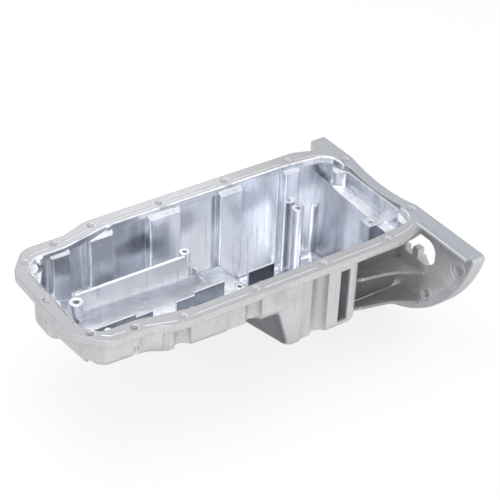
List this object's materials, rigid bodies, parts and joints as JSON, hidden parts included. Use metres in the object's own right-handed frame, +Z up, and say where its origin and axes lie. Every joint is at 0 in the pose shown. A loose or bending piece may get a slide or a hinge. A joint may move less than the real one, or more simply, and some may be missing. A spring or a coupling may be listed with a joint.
{
  "type": "engine oil pan",
  "caption": "Cast aluminium engine oil pan with a shallow tray, a deep rear sump, a bolted rail and the lower part of the gearbox flange.",
  "frame": {"origin": "centre of the rail's two bolt rows, on the machined face that meets the engine block", "axes": "+X along the crankshaft towards the gearbox face, +Y across the engine towards the deep side of the sump, +Z up into the block"},
  "size_m": [0.4472, 0.2973, 0.1547],
  "materials": {
    "casting": "as cast, with machined rail and flange faces",
    "plug": "zinc plated",
    "washer": "soft sealing ring"
  },
  "bodies": {
    "root": {"oil_pan": "casting", "drain_plug": "plug", "drain_plug_washer": "washer"}
  },
  "joints": []
}
